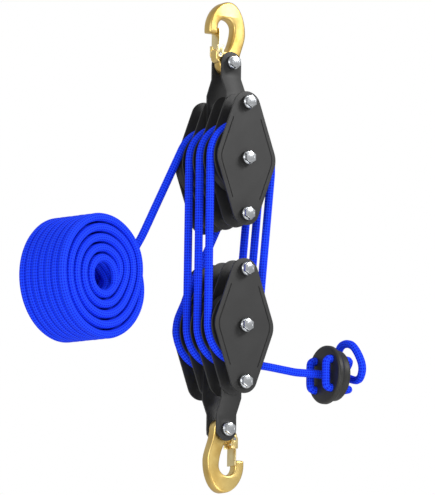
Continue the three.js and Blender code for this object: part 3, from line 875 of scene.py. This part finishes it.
# %% [markdown]
# Each bolt runs right through its block, from the flange of its head to a nut on the far side. The
# three plate bolts clamp the whole stack and the hook bolt only the two straps, so one function
# takes the stack's half depth.

# %% Bolts and nuts
HEAD_HEIGHT = 5.5
NUT_HEIGHT = 6.5
BOLT_RADIUS = 4.0
END_PROUD = 2.5
END_CHAMFER = 0.8
SHANK_INSET = 0.1
STRAP_SPACING = 20.7
STRAP_THICKNESS = 2.5
STACK = (PLATES // 2) * PITCH + PLATE_THICKNESS / 2 + BOSS_HEIGHT
HOOK_STACK = STRAP_SPACING / 2 + STRAP_THICKNESS / 2 + BOSS_HEIGHT
BOLTS = (
    ("hook_bolt", HOOK_BOLT, HOOK_STACK),
    ("strap_bolt", END_BOLT, STACK),
    ("axle_bolt", 0, STACK),
    ("tie_bolt", -END_BOLT, STACK),
)


def bolt_mesh(stack):
    bm = bmesh.new()
    seat = -stack - GAP
    bm.from_mesh(hex_on_flange("head", seat, seat - HEAD_HEIGHT))
    start = seat + SHANK_INSET
    end = stack + GAP + NUT_HEIGHT + END_PROUD
    shank = [
        (0, start), (BOLT_RADIUS, start), (BOLT_RADIUS, end - END_CHAMFER),
        (BOLT_RADIUS - END_CHAMFER, end), (0, end),
    ]
    bm.from_mesh(spun("shank", shank, steps=40))
    return mesh_from(bm, "bolt")


for block, matrix in BLOCKS.items():
    body = f"{block}_block"
    for label, z, stack in BOLTS:
        place = matrix @ shift(0, 0, z)
        name = f"{block}_{label}"
        bolt = moved(bolt_mesh(stack), name, place)
        finish_piece(f"{name}_bright", bolt, bright_zinc, body, name)
        name = f"{name}_nut"
        nut = moved(hex_on_flange("nut", stack + GAP, stack + GAP + NUT_HEIGHT), name, place)
        finish_piece(f"{name}_bright", nut, bright_zinc, body, name)
print("bolts and nuts", 2 * len(BLOCKS) * len(BOLTS))

# %% [markdown]
# The hook is drop-forged, so its long edges are rounded. It could be swept along its spine, but its
# shoulder and eye aren't round in section. So its outline is drawn with a few cubic curves, about
# the point where the load hangs, and later filled, with a wide rounded edge.

# %% Hook outline
MOUTH = 16.0
BOWL = 11.0
CROWN = 20.7
OUTER_RIGHT = 22.0
OUTER_LEFT = -28.0
TIP_DROP = 18.5
TIP_ROUNDING = 3.0
SHOULDER_DROP = 38.5
SHOULDER_REACH = 18.5
EYE_RADIUS = 13.5
CURL = EYE_RADIUS / 5
HANDLE_SHARE = 0.55
THROAT_SHARE = 0.2


def cubic(a, b, c, d, steps=14):
    """Points along a cubic curve from a to d, without a itself."""
    points = []
    for i in range(1, steps + 1):
        t = i / steps
        s = 1 - t
        weights = (s**3, 3 * s * s * t, 3 * s * t * t, t**3)
        points.append(tuple(sum(w * p[k] for w, p in zip(weights, (a, b, c, d))) for k in (0, 1)))
    return points


def outer_side():
    """From the eye up the back, over the crown and down to the tip."""
    across = HANDLE_SHARE * OUTER_RIGHT
    rise = -MOUTH + HANDLE_SHARE * (MOUTH + CROWN)
    tip = (OUTER_LEFT, -TIP_DROP)
    eye = (EYE_RADIUS, -EYE_DROP)
    back_arm = (OUTER_RIGHT, -MOUTH)
    tip_start = (OUTER_LEFT, -MOUTH + TIP_ROUNDING)
    side = [eye]
    side += cubic(eye, (EYE_RADIUS, -EYE_DROP + across), (OUTER_RIGHT, -MOUTH - across), back_arm)
    side += cubic(back_arm, (OUTER_RIGHT, rise), (across, CROWN), (0, CROWN))
    side += cubic((0, CROWN), (HANDLE_SHARE * OUTER_LEFT, CROWN), (OUTER_LEFT, rise), tip_start)
    side += cubic(tip_start, tip, tip, (OUTER_LEFT + TIP_ROUNDING, -TIP_DROP), steps=6)
    return side


def inner_side():
    """From the tip round the bowl, down the throat to the shoulder, and round the eye."""
    bowl_x = BOWL - MOUTH
    bowl_right = bowl_x + BOWL
    lip_start = (-MOUTH - TIP_ROUNDING, -TIP_DROP)
    lip = (-MOUTH, -TIP_DROP)
    side = [lip_start]
    side += cubic(lip_start, lip, lip, (-MOUTH, -MOUTH), steps=6)
    side += arc(bowl_x, -BOWL, BOWL, math.pi, 0, steps=32)
    down = (bowl_right, -BOWL - bowl_right)
    throat = (THROAT_SHARE * MOUTH, (THROAT_SHARE - 1) * SHOULDER_DROP)
    side += cubic(side[-1], down, throat, (-CURL, -SHOULDER_DROP))
    side.append((-SHOULDER_REACH + CURL, -SHOULDER_DROP))
    corner = (-SHOULDER_REACH, -SHOULDER_DROP)
    side += cubic(side[-1], corner, corner, (-SHOULDER_REACH, -SHOULDER_DROP - CURL), steps=5)
    waist = (-SHOULDER_REACH, -EYE_DROP + CURL)
    side += cubic(side[-1], waist, waist, (-EYE_RADIUS, -EYE_DROP), steps=8)
    return side + arc(0, -EYE_DROP, EYE_RADIUS, math.pi, 2 * math.pi, steps=24)[1:-1]


hook_loop = outer_side() + inner_side()
print("hook outline of", len(hook_loop), "points")

# %% [markdown]
# The forging is then drilled: the eye for its bolt, a small hole for the latch's pin, and a wider
# pocket in the middle of that one, where the latch's spring sits.

# %% Hooks
HOOK_THICKNESS = 14.0
FORGED_EDGE = 2.6
EYE_HOLE_RADIUS = 4.3
PIN_REACH = 13.5
PIN_DROP = 43.0
PIN_RADIUS = 1.75
SPRING_WIRE = 1.0
SPRING_LENGTH = 5.0
SPRING_ROOM = 4 * GAP
FORGED_CORNER = 50
HOLES = (
    (0, -EYE_DROP, EYE_HOLE_RADIUS, HOOK_THICKNESS),
    (-PIN_REACH, -PIN_DROP, PIN_RADIUS + GAP, HOOK_THICKNESS),
    (-PIN_REACH, -PIN_DROP, PIN_RADIUS + SPRING_WIRE + SPRING_ROOM, SPRING_LENGTH / 2 + GAP),
)
forging = flat_solid("forging", hook_loop, HOOK_THICKNESS, FORGED_EDGE)
for x, z, radius, half in HOLES:
    drill = spun("drill", [(0, -half), (radius, -half), (radius, half), (0, half)], steps=32)
    forging = cut(forging, moved(drill, "drill_copy", shift(x, 0, z)))
for block, matrix in HOOKS.items():
    name = f"{block}_hook"
    skin = moved(forging, name, matrix)
    finish_piece(f"{name}_forged", skin, yellow_zinc, name, name, FORGED_CORNER)
print("hook", len(forging.polygons), "faces")

# %% [markdown]
# The straps and latches are pressed from sheet, and their CAD shapes are right. A pressed edge is
# never sharp, though, and an edge that catches the light makes the piece look real. A CAD mesh is
# loose triangles, so a copy is merged and its flat faces are joined before its edges are bevelled.

# %% Pressed pieces
STRAP_EDGE = 0.4
LATCH_EDGE = 0.25
SHARP_CORNER = math.radians(40)
FLAT_ENOUGH = math.radians(1)


def edged_copy(node_name, edge_mm, material, body):
    bm = bmesh.new()
    bm.from_mesh(nodes[node_name].data)
    bmesh.ops.remove_doubles(bm, verts=bm.verts, dist=MERGE_DISTANCE)
    bmesh.ops.dissolve_limit(bm, angle_limit=FLAT_ENOUGH, verts=bm.verts, edges=bm.edges)
    sharp = [
        edge for edge in bm.edges
        if len(edge.link_faces) == 2 and edge.calc_face_angle(0) > SHARP_CORNER
    ]
    bmesh.ops.bevel(
        bm, geom=sharp, offset=edge_mm * MM, segments=2, profile=0.5, affect="EDGES", material=-1,
        clamp_overlap=True,
    )
    print(node_name, len(sharp), "sharp edges rounded")
    finish_piece(f"{node_name}_edged", mesh_from(bm, node_name), material, body, node_name)


for block in BLOCKS:
    for side in ("front", "back"):
        name = f"{block}_strap_{side}"
        edged_copy(name, STRAP_EDGE, powder_coat, f"{block}_block")
    edged_copy(f"{block}_latch", LATCH_EDGE, pale_zinc, f"{block}_latch")

# %% [markdown]
# Bearings, latch pins and springs are small and mostly hidden, and their CAD shapes are fine as they
# are. They only get their finishes, on the material slots of their own objects.

# %% Small pieces
SMALL_FINISHES = {
    "bearing": bearing_steel,
    "latch_pin": bright_zinc,
    "latch_spring": spring_steel,
}
for label, finish in SMALL_FINISHES.items():
    found = [node for name, node in nodes.items() if label in name]
    for node in found:
        node.material_slots[0].material = finish
    print(label, len(found), "pieces")

# %% [markdown]
# A studio picture of a product has a white ground with no horizon. The floor is white and lies well
# below. The world lights the object as a soft grey but is pure white to the camera, which looks up
# and sees it behind the tackle, so the ground is white without more light on the object.

# %% Stage
FLOOR_HEIGHT = -1.5
FLOOR_SIZE = 20
WORLD_LIGHT = 0.55
WHITE = (1, 1, 1, 1)
bm = bmesh.new()
floor_place = Matrix.Translation((0, 0, FLOOR_HEIGHT))
bmesh.ops.create_grid(bm, x_segments=1, y_segments=1, size=FLOOR_SIZE, matrix=floor_place)
floor = bpy.data.objects.new("floor", mesh_from(bm, "floor"))
bpy.context.scene.collection.objects.link(floor)
floor_white, _ = new_material("floor_white", Base_Color=linear("#f6f6f6"), Roughness=0.9)
floor.data.materials.append(floor_white)
world = bpy.data.worlds.new("world")
bpy.context.scene.world = world
world.use_nodes = True
tree = world.node_tree
shade = tree.nodes["Background"]
shade.inputs["Color"].default_value = WHITE
shade.inputs["Strength"].default_value = WORLD_LIGHT
white = tree.nodes.new("ShaderNodeBackground")
white.inputs["Color"].default_value = WHITE
rays = tree.nodes.new("ShaderNodeLightPath")
mix = tree.nodes.new("ShaderNodeMixShader")
tree.links.new(rays.outputs["Is Camera Ray"], mix.inputs[0])
tree.links.new(shade.outputs[0], mix.inputs[1])
tree.links.new(white.outputs[0], mix.inputs[2])
tree.links.new(mix.outputs[0], tree.nodes["World Output"].inputs["Surface"])
print("world light", WORLD_LIGHT)

# %% [markdown]
# Three large soft lamps light it, as in a studio: a broad key from the right front, a fill from the
# left, and a low one for the lower hook. Each is turned to face the middle of the tackle.

# %% Lamps
def lamp(name, place, size, power):
    data = bpy.data.lights.new(name, "AREA")
    data.size = size
    data.energy = power
    obj = bpy.data.objects.new(name, data)
    bpy.context.scene.collection.objects.link(obj)
    facing = (middle - Vector(place)).to_track_quat("-Z", "Y")
    obj.matrix_world = Matrix.Translation(place) @ facing.to_matrix().to_4x4()


lamp("key", place=(1.3, -2.0, 1.2), size=0.9, power=38)
lamp("fill", place=(-2.2, -1.4, 0.1), size=1.4, power=26)
lamp("low", place=(0.2, -1.8, -1.2), size=0.8, power=10)
bpy.context.scene.view_settings.view_transform = "Standard"
print("lamps", len(bpy.data.lights))
